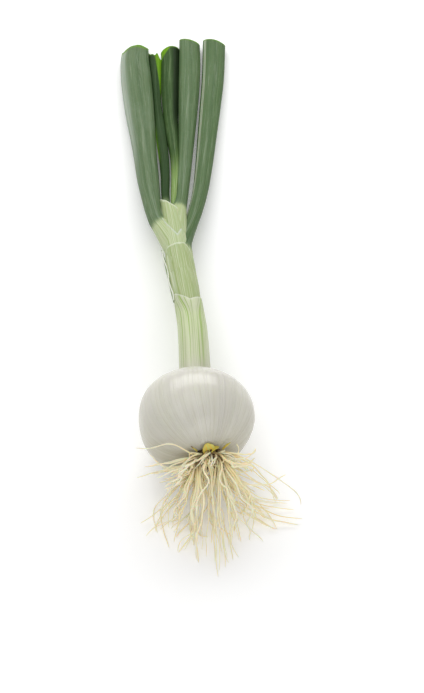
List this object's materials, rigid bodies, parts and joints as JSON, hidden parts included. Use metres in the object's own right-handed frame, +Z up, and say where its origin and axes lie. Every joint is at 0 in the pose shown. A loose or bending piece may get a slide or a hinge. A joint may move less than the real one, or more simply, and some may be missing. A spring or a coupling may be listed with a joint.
{
  "type": "onion",
  "caption": "Fresh white salad onion lying on its side, with a round bulb, a fan of roots, a layered neck and trimmed hollow leaves.",
  "frame": {"origin": "middle of the small flat that the bulb rests on, on the table top", "axes": "+Z up from the table, +Y along the onion from the roots to the cut ends of the leaves, +X to the right seen from the roots"},
  "size_m": [0.0807, 0.3512, 0.0573],
  "materials": {
    "bulb_skin": "satin",
    "leaf_skin": "satin",
    "basal_plate": "matte",
    "root_skin": "matte"
  },
  "bodies": {
    "root": {"bulb": "bulb_skin", "basal_plate": "basal_plate", "outer_right_leaf": "leaf_skin", "left_leaf": "leaf_skin", "inner_right_leaf": "leaf_skin", "middle_leaf": "leaf_skin", "narrow_leaf": "leaf_skin", "root_01": "root_skin", "root_02": "root_skin", "root_03": "root_skin", "root_04": "root_skin", "root_05": "root_skin", "root_06": "root_skin", "root_07": "root_skin", "root_08": "root_skin", "root_09": "root_skin", "root_10": "root_skin", "root_11": "root_skin", "root_12": "root_skin", "root_13": "root_skin", "root_14": "root_skin", "root_15": "root_skin", "root_16": "root_skin", "root_17": "root_skin", "root_18": "root_skin", "root_19": "root_skin", "root_20": "root_skin", "root_21": "root_skin", "root_22": "root_skin", "root_23": "root_skin", "root_24": "root_skin", "root_25": "root_skin", "root_26": "root_skin", "root_27": "root_skin", "root_28": "root_skin", "root_29": "root_skin", "root_30": "root_skin", "root_31": "root_skin", "root_32": "root_skin", "root_33": "root_skin", "root_34": "root_skin"}
  },
  "joints": []
}
